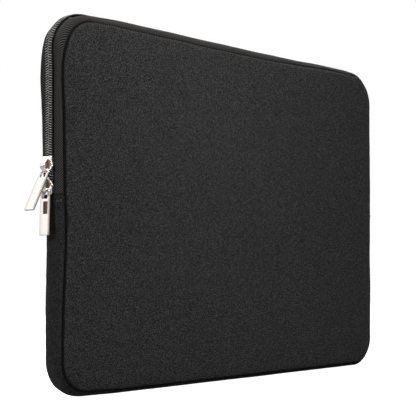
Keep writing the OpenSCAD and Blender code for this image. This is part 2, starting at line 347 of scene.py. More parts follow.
def cut_corners(points, passes=2, closed=False):
    """Rounds a polyline by cutting its corners at a quarter of each edge."""
    points = np.asarray(points, float)
    width = points.shape[1]
    for _ in range(passes):
        if closed:
            a, b = points, np.roll(points, -1, 0)
        else:
            a, b = points[:-1], points[1:]
        cut = np.stack([0.75 * a + 0.25 * b, 0.25 * a + 0.75 * b], 1).reshape(-1, width)
        points = cut if closed else np.concatenate([points[:1], cut[1:-1], points[-1:]])
    return points


def with_mirror(half):
    """A half profile of (out, y) ending at y = 0, followed by its mirror image."""
    return half + [(out, -y) for out, y in half[-2::-1]]


def sweep(stretches, step, profile, closed=False, edit=None):
    """Carries a closed (out, y) profile along a run; uvw is (distance, girth, 0).

    edit(distance, out, y, points) may move the swept profile.
    """
    run = Run(stretches)
    stations = np.linspace(0, run.length, max(2, int(round(run.length / step))) + 1)
    if closed:
        stations = stations[:-1]
    points, normals = run.at(stations)
    rings, sides = len(stations), len(profile)
    out = np.tile(profile[:, 0], (rings, 1))
    y = np.tile(profile[:, 1], (rings, 1))
    if edit is not None:
        out, y = edit(stations[:, None], out, y, points)
    x = points[:, 0:1] + normals[:, 0:1] * out
    z = points[:, 1:2] + normals[:, 1:2] * out
    verts = np.stack([x, y, z], 2).reshape(-1, 3)
    edges = np.linalg.norm(np.diff(profile, axis=0), axis=1)
    girth = np.concatenate([[0], np.cumsum(edges)])
    uvw = np.stack([np.repeat(stations, sides), np.tile(girth, rings),
                    np.zeros(rings * sides)], 1)
    return verts, tube_faces(rings, sides, closed), uvw


# ---------------------------------------------------------------- materials
def grey(value, warm=0.0):
    return (value * (1 + warm), value, value * (1 - warm))


def colour(value, warm=0.0):
    """RGBA from an RGB tuple or a single grey value."""
    if not isinstance(value, tuple):
        value = grey(value, warm)
    return (*value, 1)


class Graph:
    """Fills a node tree; a value may be a constant or a socket."""
    def __init__(self, tree):
        self.tree = tree
        for node in list(tree.nodes):
            tree.nodes.remove(node)

    def put(self, node, key, value):
        if isinstance(value, bpy.types.NodeSocket):
            self.tree.links.new(value, node.inputs[key])
        else:
            node.inputs[key].default_value = value

    def node(self, kind, inputs=None, **settings):
        node = self.tree.nodes.new("ShaderNode" + kind)
        for key, value in settings.items():
            setattr(node, key, value)
        for key, value in (inputs or {}).items():
            self.put(node, key, value)
        return node

    def math(self, operation, *values):
        return self.node("Math", dict(enumerate(values)), operation=operation).outputs[0]

    def add(self, a, b):
        return self.math("ADD", a, b)

    def mul(self, a, b):
        return self.math("MULTIPLY", a, b)

    def mul_add(self, a, factor, offset):
        return self.math("MULTIPLY_ADD", a, factor, offset)

    def ramp(self, factor, *stops, warm=0.0):
        """stops are (position, grey value or RGB)."""
        node = self.node("ValToRGB")
        elements = node.color_ramp.elements
        while len(elements) > 1:
            elements.remove(elements[-1])
        elements[0].position = stops[0][0]
        elements[0].color = colour(stops[0][1], warm)
        for position, value in stops[1:]:
            elements.new(position).color = colour(value, warm)
        self.put(node, 0, factor)
        return node.outputs[0]

    def noise(self, vector, scale, detail=2.0, rough=0.5, distortion=0.0):
        return self.node("TexNoise", {"Scale": scale, "Detail": detail, "Roughness": rough,
                                      "Distortion": distortion, "Vector": vector}).outputs[0]

    def mix(self, factor, a, b, mode="MIX"):
        # sockets 0, 6, 7 and output 2 are the factor, A, B and result of a colour mix
        inputs = {0: factor, 6: a, 7: b}
        return self.node("Mix", inputs, data_type="RGBA", blend_type=mode).outputs[2]

    def tint(self, a, b):
        return self.mix(1.0, a, b, "MULTIPLY")

    def bump(self, height, distance, strength=1.0, normal=None):
        inputs = {"Strength": strength, "Distance": distance, "Height": height}
        if normal is not None:
            inputs["Normal"] = normal
        return self.node("Bump", inputs).outputs[0]

    def split(self, vector):
        return self.node("SeparateXYZ", {0: vector}).outputs

    def uvw(self):
        return self.node("Attribute", attribute_name="uvw").outputs["Vector"]

    def object_mm(self):
        coordinates = self.node("TexCoord").outputs["Object"]
        scaled = self.node("VectorMath", {0: coordinates}, operation="SCALE")
        scaled.inputs["Scale"].default_value = 1000.0
        return scaled.outputs[0]


def new_material(name, fixed):
    """A material with one Principled shader; fixed holds its constant inputs."""
    material = bpy.data.materials.new(name)
    material.use_nodes = True
    g = Graph(material.node_tree)
    output = g.node("OutputMaterial")
    shader = g.node("BsdfPrincipled", fixed)
    g.put(output, 0, shader.outputs[0])
    return material, g, shader


def neoprene(name, tone, swept=False):
    """Fine knitted jersey bonded to foam, flecked with lighter yarn.

    A swept part takes its pattern from uvw; a panel from its place, with uvw z its inset.
    """
    material, g, shader = new_material(name, {
        "Roughness": 0.92, "Specular IOR Level": 0.08, "Sheen Weight": 0.03,
        "Sheen Roughness": 0.5, "Sheen Tint": (0.75, 0.75, 0.78, 1)})
    wale, course = 0.9, 0.75                   # widths of a column and a row of loops
    uvw = g.uvw()
    uvw_parts = g.split(uvw)
    if swept:
        place, across, along = uvw, uvw_parts[0], uvw_parts[1]
    else:
        place = g.object_mm()
        across, _, along = g.split(place)
    # columns of small v-shaped loops, slightly wandering
    wander = g.noise(place, scale=0.25)
    across = g.add(across, g.mul(wander, 0.5))
    column = g.math("ABSOLUTE", g.math("SINE", g.mul(across, math.pi / wale)))
    row = g.math("SINE", g.add(g.mul(along, 2 * math.pi / course), g.mul(column, 2.2)))
    knit = g.add(g.mul(row, 0.5), g.mul(column, 0.7))
    # turned off the axes, so that the flat panel doesn't lie in one layer of the noise
    turn = g.node("Mapping", {0: place, "Rotation": (0.62, 0.35, 0.48)})
    turned = turn.outputs[0]
    fibre = g.noise(turned, scale=3.2, detail=1, rough=0.6)
    grain = g.noise(turned, scale=1.9, detail=0.0)
    patch = g.noise(turned, scale=0.35, rough=0.55)
    broad = g.noise(turned, scale=0.018, detail=3)
    fleck_noise = g.noise(turned, scale=0.9, detail=0.0, rough=0.4)
    fleck = g.ramp(fleck_noise, (0.0, 0), (0.70, 0), (0.79, 1))
    shade = g.add(g.mul(grain, 0.84), g.add(g.mul(fibre, 0.14), g.mul(patch, 0.02)))
    yarn = g.ramp(shade, (0.33, tone * 0.10), (0.45, tone * 0.62), (0.5, tone * 0.92),
                  (0.56, tone * 1.5), (0.66, tone * 3.0), warm=0.01)
    flecked = g.mix(g.mul(fleck, 0.26), yarn, colour(tone * 4.5, warm=-0.01))
    knitted = g.mix(g.mul(g.add(knit, 1.2), 0.10), flecked, colour(tone * 0.5))
    base = g.tint(knitted, g.ramp(broad, (0.3, 0.96), (0.7, 1.04)))
    if not swept:
        # the fabric turns into the seam: a shaded line
        base = g.tint(base, g.ramp(g.mul(uvw_parts[2], 0.5),
                                   (0.16, 0.12), (0.30, 0.55), (0.55, 1.0)))
    g.put(shader, "Base Color", base)
    relief = g.add(g.mul(knit, 0.35), g.add(g.mul(fibre, 0.5), g.mul(grain, 0.6)))
    fine = g.bump(relief, distance=0.00018, strength=0.8)
    swell = g.noise(place, scale=0.22, detail=3)
    g.put(shader, "Normal", g.bump(swell, distance=0.0006, strength=0.04, normal=fine))
    return material


def twill(name, tone, warm):
    """Zip tape with diagonal ribs; uvw is (distance along, girth, y before softening)."""
    material, g, shader = new_material(name, {
        "Roughness": 0.85, "Specular IOR Level": 0.1, "Sheen Weight": 0.03,
        "Sheen Roughness": 0.4})
    rib_pitch, thread_pitch = 1.55, 0.42
    uvw = g.uvw()
    along, girth, y = g.split(uvw)
    wander = g.mul(g.noise(uvw, scale=0.5), 0.10)
    slant = g.add(g.add(along, g.mul(girth, 0.9)), wander)
    diagonal = g.math("SINE", g.mul(slant, 2 * math.pi / rib_pitch))
    thread = g.math("SINE", g.mul(girth, 2 * math.pi / thread_pitch))
    rib = g.add(g.mul(diagonal, 0.85), g.mul(thread, 0.15))
    fibre = g.noise(uvw, scale=3.5, detail=3, rough=0.6)
    base = g.ramp(g.mul_add(rib, 0.5, 0.5), (0.15, tone * 0.05), (0.45, tone * 0.45),
                  (0.85, tone * 2.9), warm=warm)
    base = g.tint(base, g.ramp(fibre, (0.3, 0.8), (0.7, 1.25)))
    # painted shade: dark in the seam, beside and under the chain, and where the tape goes in
    # under the end tab
    base = g.tint(base, g.ramp(g.mul(girth, 0.1), (0.14, 0.1), (0.24, 1.0)))
    base = g.tint(base, g.ramp(g.mul(y, 0.1), (0.31, 0.12), (0.37, 1.0)))
    base = g.tint(base, g.ramp(g.mul(along, 0.1), (0.0, 0.1), (0.50, 0.1), (0.58, 1.0)))
    g.put(shader, "Base Color", base)
    relief = g.add(g.mul(rib, 0.6), g.mul(fibre, 0.4))
    g.put(shader, "Normal", g.bump(relief, distance=0.00016, strength=0.9))
    return material


def nylon(name, tone, crest):
    """Black filament, with a painted highlight that makes the tops of the loops paler.

    uvw says how far a point faces outward and along the run, and its height in the loop.
    """
    material, g, shader = new_material(name, {})
    place = g.object_mm()
    mottle = g.noise(place, scale=1.8, detail=3, rough=0.6)
    outward, along, height = g.split(g.uvw())
    face = g.ramp(outward, (0.76, 0), (0.95, 1))
    side = g.ramp(g.math("ABSOLUTE", g.mul_add(along, 2.0, -1.0)), (0.15, 1.0), (0.42, 0))
    high_up = g.ramp(height, (0.50, 0), (0.90, 1))
    # painted highlight: the loop tops that face outward take a pale glint colour, with less
    # roughness and more specular
    zone_mask = g.tint(g.tint(face, side), high_up)
    plain = g.ramp(mottle, (0.3, tone * 0.7), (0.7, tone * 1.5), warm=0.02)
    glint_colour = g.ramp(g.noise(place, scale=0.55, detail=1),
                      (0.35, crest * 0.45), (0.6, crest), warm=0.02)
    g.put(shader, "Base Color", g.mix(zone_mask, plain, glint_colour))
    g.put(shader, "Roughness", g.add(g.mul_add(mottle, 0.12, 0.30), g.mul(zone_mask, -0.18)))
    g.put(shader, "Specular IOR Level", g.mul_add(zone_mask, 0.35, 0.03))
    scuffs = g.noise(place, scale=5.0, rough=0.6)
    g.put(shader, "Normal", g.bump(scuffs, distance=0.00003, strength=0.5))
    return material


def plated(name, rough=0.1, metal=(0.86, 0.84, 0.82), recess=False):
    """Polished metal with a faint ripple and fine scratches.

    With recess, uvw z marks a sunk field, and uvw x the place across the piece.
    """
    material, g, shader = new_material(name, {"Metallic": 1.0})
    place = g.object_mm()
    ripple = g.noise(place, scale=0.35)
    scratches = g.noise(place, scale=6.0, detail=4, rough=0.7, distortion=1.5)
    red, green, blue = metal
    base = g.mix(g.mul(ripple, 0.5), colour(metal),
                 colour((red * 0.93, green * 0.9, blue * 0.87)))
    roughness = g.mul_add(scratches, 0.10, rough)
    if recess:
        # the sunk field is matt, darker and brown; painted shade darkens the plate towards
        # positive uvw x
        sunk = g.split(g.uvw())[2]
        across = g.split(g.uvw())[0]
        painted_shade_across = g.ramp(g.mul_add(across, 0.1, 0.5),
                         (0.0, 1.0), (0.50, 1.0), (0.72, 0.92), (0.90, 0.72))
        base = g.tint(base, painted_shade_across)
        # the brown is the finish in a pull's sunk field; on the floor of a slider's top hollow,
        # under the crown, it is a darker cavity and also painted shade
        brown = g.ramp(scratches, (0.3, (0.19, 0.125, 0.085)), (0.7, (0.30, 0.215, 0.155)))
        base = g.mix(sunk, base, brown)
        g.put(shader, "Metallic", g.mul_add(sunk, -0.6, 1.0))
        roughness = g.add(roughness, g.mul(sunk, 0.35))
    g.put(shader, "Base Color", base)
    g.put(shader, "Roughness", roughness)
    rippled = g.bump(ripple, distance=0.0002, strength=0.25)
    g.put(shader, "Normal", g.bump(scratches, distance=0.00001, strength=0.3, normal=rippled))
    return material


def plush(name, tone=0.05):
    material, g, shader = new_material(name, {
        "Roughness": 1.0, "Sheen Weight": 0.6, "Sheen Roughness": 0.35})
    pile = g.noise(g.object_mm(), scale=1.3, detail=4, rough=0.7, distortion=0.8)
    g.put(shader, "Base Color", g.ramp(pile, (0.3, tone * 0.6), (0.7, tone * 1.5)))
    g.put(shader, "Normal", g.bump(pile, distance=0.0005, strength=0.8))
    return material


def ribbon(name, tone=0.02):
    """Ribbed weave for ribbon, cord and thread."""
    material, g, shader = new_material(name, {"Roughness": 0.85})
    place = g.object_mm()
    fibre = g.noise(place, scale=2.5, detail=3, rough=0.6)
    weave = g.node("TexWave", {"Scale": 0.9, "Distortion": 0.4, "Vector": place}).outputs[1]
    g.put(shader, "Base Color", g.tint(
        g.ramp(fibre, (0.3, tone * 0.7), (0.7, tone * 1.4)),
        g.ramp(weave, (0, 0.7), (1, 1.2))))
    g.put(shader, "Normal", g.bump(g.add(weave, fibre), distance=0.00015, strength=0.7))
    return material


JERSEY = neoprene("neoprene_jersey", tone=0.021)
GUSSET_JERSEY = neoprene("neoprene_jersey_gusset", tone=0.013, swept=True)
TAPE = twill("zip_tape_twill", tone=0.017, warm=0.05)
# crest: the pale colour painted on the loop tops as a highlight
NYLON = nylon("nylon_coil", tone=0.002, crest=0.9)
ribbon("sewing_thread", tone=0.03)             # spare: in the file, but on no piece
NICKEL = plated("nickel_plate")
SUNK_NICKEL = plated("nickel_plate_pull", recess=True)
SPRING = plated("spring_steel", rough=0.22, metal=(0.6, 0.59, 0.57))
PLUSH = plush("plush_lining")
BINDING = ribbon("binding_ribbon")
CORD = ribbon("twisted_cord")
TAB = neoprene("end_tab_fabric", tone=0.0125, swept=True)
TACK = ribbon("bar_tack_thread", tone=0.035)


# ---------------------------------------------------------------- panels and linings
def outline_points(nx, nz):
    """Seam points and normals, anticlockwise seen from the front, from mid lower left corner."""
    eighth = math.pi / 4
    height = Z_HIGH - Z_LOW

    def half_corner(centre, radius, eighths):
        return arc(centre, radius, eighths * eighth, 1, eighth)

    sides = (
        ([half_corner(BOTTOM_LEFT, R_BOTTOM, -3),
          line((-X_BOTTOM, BOTTOM), (1, 0), (0, -1), 2 * X_BOTTOM),
          half_corner(BOTTOM_RIGHT, R_BOTTOM, -2)], nx),
        ([half_corner(BOTTOM_RIGHT, R_BOTTOM, -1),
          line((HALF_W, Z_LOW), (0, 1), (1, 0), height),
          half_corner(TOP_RIGHT, R_TOP, 0)], nz),
        ([half_corner(TOP_RIGHT, R_TOP, 1),
          line((X_TOP, TOP), (-1, 0), (0, 1), 2 * X_TOP),
          half_corner(TOP_LEFT, R_TOP, 2)], nx),
        ([half_corner(TOP_LEFT, R_TOP, 3),
          line((-HALF_W, Z_HIGH), (0, -1), (-1, 0), height),
          half_corner(BOTTOM_LEFT, R_BOTTOM, 4)], nz))
    found = []
    for stretches, count in sides:
        run = Run(stretches)
        found.append(run.at(np.linspace(0, run.length, count + 1)[:-1]))
    points, normals = zip(*found)
    return np.concatenate(points), np.concatenate(normals)


def shell(nx, nz, outer_rim, inner_rim, relief=None):
    """A closed padded sheet for the rear side: two grids joined by rings round the rim.

    The rims are lists of (inset from the seam, y), from the seam inwards.
    relief(verts, outer) may move the verts; outer is 1 on the outer face and 0 on the inner.
    uvw is (x, z, inset).
    """
    outline, outward = outline_points(nx, nz)
    count = len(outline)
    rings = inner_rim[::-1] + outer_rim        # inner face to outer face, through the edge
    verts, insets = [], []
    for inset, y in rings:
        x, z = (outline - outward * inset).T
        verts.append(np.stack([x, np.full(count, y), z], 1))
        insets.append(np.full(count, inset))
    outer = [np.zeros(count)] * len(inner_rim) + [np.ones(count)] * len(outer_rim)
    faces = [ring_quad(i, j, len(rings), count)
             for i in range(len(rings) - 1) for j in range(count)]
    start = len(rings) * count
    for is_outer, ring in ((False, 0), (True, len(rings) - 1)):
        # a grid blended between the four sides of the ring
        edge = verts[ring]
        bottom = edge[:nx + 1]
        right = edge[nx:nx + nz + 1]
        top = edge[nx + nz:2 * nx + nz + 1][::-1]
        left = np.concatenate([edge[2 * nx + nz:], edge[:1]])[::-1]
        a = np.linspace(0, 1, nx + 1)[None, :, None]
        b = np.linspace(0, 1, nz + 1)[:, None, None]
        grid = ((1 - b) * bottom[None] + b * top[None]
                + (1 - a) * left[:, None] + a * right[:, None]
                - (1 - a) * (1 - b) * bottom[0] - a * (1 - b) * bottom[-1]
                - (1 - a) * b * top[0] - a * b * top[-1])
        grid[:, :, 1] = rings[ring][1]
        # vertex numbers: the border is the ring's own vertices, the rest are new
        index = np.full((nz + 1, nx + 1), -1)
        first = ring * count
        index[0, :] = first + np.arange(nx + 1)
        index[:, nx] = first + nx + np.arange(nz + 1)
        index[nz, ::-1] = first + nx + nz + np.arange(nx + 1)
        left_column = first + 2 * nx + nz + np.arange(nz + 1)
        left_column[-1] = first
        index[::-1, 0] = left_column
        inner = grid[1:-1, 1:-1].reshape(-1, 3)
        index[1:-1, 1:-1] = start + np.arange(len(inner)).reshape(nz - 1, nx - 1)
        start += len(inner)
        verts.append(inner)
        insets.append(np.full(len(inner), 99.0))    # well clear of the seam
        outer.append(np.full(len(inner), float(is_outer)))
        for r in range(nz):
            for c in range(nx):
                face = [index[r, c], index[r, c + 1], index[r + 1, c + 1], index[r + 1, c]]
                faces.append(face[::-1] if is_outer else face)
    verts = np.concatenate(verts)
    if relief is not None:
        verts = relief(verts, np.concatenate(outer))
    return verts, faces, np.stack([verts[:, 0], verts[:, 2], np.concatenate(insets)], 1)


def cloth_field(seed):
    """Heights of a light sheet pinned at its edge, blown out a little and let buckle."""
    nx, nz, frames = 66, 49, 24
    xs, zs = np.linspace(-HALF_W, HALF_W, nx), np.linspace(BOTTOM, TOP, nz)
    x, z = np.meshgrid(xs, zs)
    start_y = 0.25 * waves(seed, 24, 30, 110)(x, z)
    faces = [[r * nx + c, r * nx + c + 1, (r + 1) * nx + c + 1, (r + 1) * nx + c]
             for r in range(nz - 1) for c in range(nx - 1)]
    ob = mesh_object("cloth_tmp%d" % seed, np.stack([x, start_y, z], 2).reshape(-1, 3), faces,
                     recalc=False)
    edge = [r * nx + c for r in range(nz) for c in range(nx)
            if r in (0, nz - 1) or c in (0, nx - 1)]
    ob.vertex_groups.new(name="pin").add(edge, 1.0, "REPLACE")
    cloth = ob.modifiers.new("cloth", "CLOTH")
    settings = cloth.settings
    settings.quality = 6
    settings.mass = 0.4
    settings.tension_stiffness = 30
    settings.compression_stiffness = 30
    settings.shear_stiffness = 12
    settings.bending_stiffness = 8
    settings.vertex_group_mass = "pin"
    settings.use_pressure = True
    settings.uniform_pressure_force = 0.6
    settings.shrink_min = -0.0022
    settings.effector_weights.gravity = 0
    cloth.collision_settings.use_collision = False
    cloth.collision_settings.use_self_collision = False
    cloth.point_cache.frame_start, cloth.point_cache.frame_end = 1, frames
    scene = bpy.context.scene
    for number in range(1, frames + 1):
        scene.frame_set(number)
    result = ob.evaluated_get(bpy.context.evaluated_depsgraph_get())
    coords = np.zeros(len(result.data.vertices) * 3)
    result.data.vertices.foreach_get("co", coords)
    y = coords.reshape(-1, 3)[:, 1].reshape(nz, nx) / MM
    scene.frame_set(1)
    mesh = ob.data
    bpy.data.objects.remove(ob)
    bpy.data.meshes.remove(mesh)
    # guards against a simulation that has blown up
    return xs, zs, y if np.isfinite(y).all() else start_y


def sample(field, x, z):
    """Eased bilinear reading of a cloth field."""
    xs, zs, heights = field
    column = np.clip((x - xs[0]) / (xs[1] - xs[0]), 0, len(xs) - 1.001)
    row = np.clip((z - zs[0]) / (zs[1] - zs[0]), 0, len(zs) - 1.001)
    i, j = column.astype(int), row.astype(int)
    a, b = ease(column - i), ease(row - j)
    return ((1 - b) * ((1 - a) * heights[j, i] + a * heights[j, i + 1])
            + b * ((1 - a) * heights[j + 1, i] + a * heights[j + 1, i + 1]))


def panel_relief(seed):
    field = cloth_field(seed)
    highest = np.abs(field[2]).max()
    swell = waves(seed + 5, 30, 45, 150)
    gathers = waves(seed + 9, 24, 7, 20)

    def relief(verts, outer):
        x, z = verts[:, 0], verts[:, 2]
        inset = np.minimum.reduce([HALF_W - np.abs(x), z - BOTTOM, TOP - z])
        dy = 0.13 * swell(x, z) * ease(inset / 16) + 0.35 * ease(inset / 26)
        if highest > 1e-6:
            buckle = sample(field, x, z) * (0.16 / max(highest, 0.16))
            dy = dy + np.clip(buckle, -0.3, 0.3) * ease(inset / 10)
        # small gathers where the seam pulls the edge in
        by_seam = ease(inset / 1.2) * (1 - ease((inset - 1.5) / 7))
        dy = dy + 0.07 * gathers(x, z) * by_seam
        verts = verts.copy()
        verts[:, 1] += np.clip(dy, -1.2, 1.4) * outer
        return verts
    return relief


def rim(base_y, stations):
    return [(inset, base_y + dy) for inset, dy in stations]


# (inset from the seam, y from SEAM_Y)
PANEL_OUTER = rim(SEAM_Y, (
    (1.7, -1.6), (0.95, -1.35), (0.6, -0.95), (0.38, -0.45), (0.26, 0.05), (0.28, 0.5),
    (0.45, 0.92), (0.8, 1.26), (1.3, 1.52), (1.95, 1.7), (2.7, 1.81), (3.6, 1.88),
    (4.7, 1.92), (6.2, 1.95), (8.2, 1.97), (10.7, 1.98), (13.2, 1.99), (15.7, 2.0),
    (18.0, 2.0)))
# (inset from the seam, y from FOAM_Y)
PANEL_INNER = rim(FOAM_Y, ((1.9, 0.1), (3.0, 0.05), (8.0, 0.05), (14.0, 0.05), (18.0, 0.05)))
LINING_OUTER = rim(FOAM_Y, ((1.5, -0.65), (1.15, -0.45), (1.1, -0.25), (1.5, -0.1),
                            (3.0, -0.05), (8.0, -0.05), (16.0, -0.05)))
LINING_INNER = rim(FOAM_Y, ((1.9, -0.73), (4.0, -0.75), (8.0, -0.75), (16.0, -0.75)))

for (side, y_sign), seed in zip(PANEL_SIDES, (3, 11)):
    panel = shell(168, 124, PANEL_OUTER, PANEL_INNER, panel_relief(seed))
    add_piece(side + "_panel_padded", softened(panel, y_sign), JERSEY,
              node=side + "_panel")

for side, y_sign in PANEL_SIDES:
    lining = shell(62, 46, LINING_OUTER, LINING_INNER)
    add_piece(side + "_lining_plush", softened(lining, y_sign), PLUSH,
              node=side + "_lining")


# ---------------------------------------------------------------- lower gusset
def lower_gusset():
    # (out from the seam, y), from the rear seam to the crown in the middle
    half = [(out, SEAM_Y + dy) for out, dy in (
        (-1.3, -1.75), (-0.6, -1.45), (-0.1, -1.0), (0.25, -0.62), (0.7, -0.45),
        (1.25, -0.55), (1.8, -1.0), (2.3, -1.75), (2.75, -2.9), (3.1, -4.4), (3.35, -6.2))]
    outer = cut_corners(with_mirror(half + [(3.48, 0.0)]))
    inner = [[-1.3, -SEAM_Y + 2.5], [-0.4, -SEAM_Y + 3.3], [-0.3, 0.0],
             [-0.4, SEAM_Y - 3.3], [-1.3, SEAM_Y - 2.5]]
    swell, ripple = waves(21, 26, 18, 70), waves(22, 20, 5, 14)

    def buckle(distance, out, y, points):
        amount = ease((out + 0.2) / 2.0)
        crown = 1 - (np.abs(y) / (SEAM_Y + 0.2)) ** 2
        rise = 0.16 * swell(distance, y) * crown + 0.045 * ripple(distance, y * 2)
        return out + amount * rise, y

    part = softened(sweep(under_bottom(TAB_LOW + 0.9), 1.6, np.concatenate([outer, inner]),
                          edit=buckle))
    # the foam flattens where it stands
    squash_z = 0.9
    verts = part[0]
    z = verts[:, 2]
    verts[:, 2] = np.where(z < squash_z, squash_z * np.exp((z - squash_z) / squash_z), z)
    return part


def gusset_lining():
    # (out from the seam, y)
    profile = cut_corners([
        (-0.32, -FOAM_Y + 1.15), (-0.32, FOAM_Y - 1.15), (-0.5, FOAM_Y - 1.0),
        (-0.9, FOAM_Y - 1.15), (-0.9, -FOAM_Y + 1.15), (-0.5, -FOAM_Y + 1.0)], 1, closed=True)
    return softened(sweep(under_bottom(TAB_LOW - 0.5), 2.5, profile))


add_piece("lower_gusset_padded", lower_gusset(), GUSSET_JERSEY,
          node="lower_gusset")
add_piece("gusset_lining_plush", gusset_lining(), PLUSH, node="gusset_lining")


# ---------------------------------------------------------------- seam bindings
def seam_binding():
    """Ribbon folded over the seam allowance, on the rear side."""
    # (out from the seam, y from FOAM_Y)
    profile = cut_corners([(out, FOAM_Y + dy) for out, dy in (
        (-2.55, -1.85), (-2.7, -1.35), (-2.5, -0.88), (-1.7, -0.82), (-0.95, -0.88),
        (-0.85, -1.35), (-0.95, -1.85), (-1.7, -1.9))], 1, closed=True)
    ripple = waves(31, 16, 6, 25)

    def crumple(distance, out, y, points):
        return out + 0.05 * ripple(distance, y), y + 0.04 * ripple(distance, out + 3)

    return sweep(all_round(), 2.0, profile, closed=True, edit=crumple)


for side, y_sign in PANEL_SIDES:
    add_piece(side + "_seam_binding_ribbon", softened(seam_binding(), y_sign), BINDING,
              node=side + "_seam_binding")


# ---------------------------------------------------------------- zip tapes
def zip_tape():
    """The rear tape, from the seam to the middle of the chain."""
    thickness = 0.6
    # (out from the seam, y)
    bend = [(out, SEAM_Y + dy) for out, dy in (
        (-1.3, -1.75), (-0.6, -1.45), (-0.1, -1.02), (0.3, -0.68), (0.8, -0.52),
        (1.35, -0.62), (1.9, -0.98), (2.4, -1.5), (2.78, -2.15), (3.0, -2.95))]
    flat = [(TAPE_H, SEAM_Y - 3.8), (TAPE_H, 3.5), (TAPE_H, 0.28)]
    face = cut_corners(bend + flat)
    tangent = np.gradient(face, axis=0)
    inward = np.stack([tangent[:, 1], -tangent[:, 0]], 1)
    inward /= np.linalg.norm(inward, axis=1)[:, None]
    back = (face + inward * thickness)[::-1]
    ripple = waves(41, 20, 12, 50)

    def raise_tape(distance, out, y, points):
        free = ease((y - 5.2) / 1.8) * ease((SEAM_Y - 0.3 - y) / 0.8)
        lifted = zip_lift(points)[:, None] * ease((out - 0.3) / 2.2)
        return out + 0.14 * free * ripple(distance, y) + lifted, y

    part = sweep(over_top(0, TAB_LOW + 0.05), 1.5, np.concatenate([face, back]),
                 edit=raise_tape)
    part[2][:, 2] = part[0][:, 1]
    return part


for side, y_sign in PANEL_SIDES:
    add_piece(side + "_zip_tape_woven", softened(zip_tape(), y_sign), TAPE,
              node=side + "_zip_tape")

# ---------------------------------------------------------------- coils and their cords
PITCH = 1.51
COIL_BASE = TAPE_H + 0.04
FILAMENT_R = 0.33
COIL_START = TAB_TOP + 0.6


def unit(vectors):
    return vectors / np.maximum(np.linalg.norm(vectors, axis=1), 1e-6)[:, None]


def coil(y_sign, phase):
    """One helix of nylon filament; phase is a fraction of the pitch."""
    run = Run(over_top(COIL_BASE, COIL_START))
    turns = int((run.length - 1.2) / PITCH)
    crest = COIL_H - COIL_BASE - 2 * FILAMENT_R
    # one loop: across from the middle, height of the filament's underside, pitches along
    loop = np.array([
        (3.05 - FILAMENT_R * 0.8, 0.75, -0.04), (2.62, crest - 0.12, 0.0),
        (2.2, crest, 0.05), (1.2, crest + 0.03, 0.20), (0.35, crest + 0.02, 0.34),
        (-0.10, 1.02, 0.42), (-0.26, 0.66, 0.50), (-0.10, 0.30, 0.56), (0.35, 0.08, 0.60),
        (1.2, 0.02, 0.70), (2.3, 0.06, 0.84), (3.05 - FILAMENT_R, 0.42, 0.92)])
    loop[:, 1] += FILAMENT_R
    control = np.concatenate([
        np.stack([loop[:, 0], loop[:, 1], (k + phase) * PITCH + 0.7 + loop[:, 2] * PITCH], 1)
        for k in range(turns)])
    # Catmull-Rom midpoints between the control points
    p0, p1, p2, p3 = control[:-3], control[1:-2], control[2:-1], control[3:]
    middle = (-p0 + 9 * p1 + 9 * p2 - p3) / 16
    across, height, along = np.stack([p1, middle], 1).reshape(-1, 3).T
    points, normals = run.at(along)
    y = across + chain_gap(points)
    out = height + zip_lift(points)
    centre = np.stack([points[:, 0] + normals[:, 0] * out, y_sign * y,
                       points[:, 1] + normals[:, 1] * out], 1)

    # the filament's section, framed by the direction of the run
    flat = 0 * normals[:, 0]
    run_dir = np.stack([normals[:, 1], flat, -normals[:, 0]], 1)
    out_dir = np.stack([normals[:, 0], flat, normals[:, 1]], 1)
    tangent = np.gradient(centre, axis=0)
    tangent /= np.linalg.norm(tangent, axis=1)[:, None]
    second = unit(np.cross(tangent, run_dir))
    first = np.cross(second, tangent)
    sides = 7
    angle = np.arange(sides) * 2 * math.pi / sides
    head = np.clip(1 - np.abs(across + 0.15) / 0.55, 0, 1)    # flattened near the middle
    first = first * (FILAMENT_R * (1 + 0.15 * head))[:, None]
    second = second * (FILAMENT_R * (1 - 0.12 * head))[:, None]
    rings = (centre[:, None, :] + np.cos(angle)[None, :, None] * first[:, None, :]
             + np.sin(angle)[None, :, None] * second[:, None, :])

    # uvw: facing outward, facing along the run, height in the loop, all about 0 to 1
    offset = (rings - centre[:, None, :]) / FILAMENT_R
    outer_end = np.where((y > 2.2)[:, None], y_sign * offset[:, :, 1], -1)
    outward = np.maximum((offset * out_dir[:, None, :]).sum(2), outer_end)
    lengthwise = (offset * run_dir[:, None, :]).sum(2)
    # the painted highlight on the loops starts at this height in the loop
    glint_from = 0.55
    level = (height - glint_from) / (crest + FILAMENT_R - glint_from)
    level = np.repeat(level[:, None], sides, 1)
    uvw = np.stack([outward * 0.5 + 0.5, lengthwise * 0.5 + 0.5, np.clip(level, 0, 1)], 2)

    count = len(centre)
    faces = [ring_quad(i, j, count, sides) for j in range(sides) for i in range(count - 1)]
    return rings.reshape(-1, 3), faces + end_caps(count, sides), uvw.reshape(-1, 3)


def cord(y_sign):
    """The three-strand twisted cord inside each coil."""
    run = Run(over_top(COIL_BASE, COIL_START))
    radius, lay, sides = 0.27, 5.0, 8          # lay: length of one full twist
    centre_out, centre_y = 0.9, 1.75
    count = int(run.length / 0.9)
    along = np.linspace(0.4, run.length - 0.4, count)
    points, normals = run.at(along)
    gap, lift = chain_gap(points), zip_lift(points)
    twist = along * 2 * math.pi / lay
    verts = []
    for j in range(sides):
        angle = 2 * math.pi * j / sides
        r = radius * (1 + 0.16 * np.cos(3 * (angle - twist)))
        out = centre_out + r * np.cos(angle) + lift
        y = centre_y + gap + r * np.sin(angle)
        verts.append(np.stack([points[:, 0] + normals[:, 0] * out, y_sign * y,
                               points[:, 1] + normals[:, 1] * out], 1))
    return np.stack(verts, 1).reshape(-1, 3), tube_faces(count, sides)


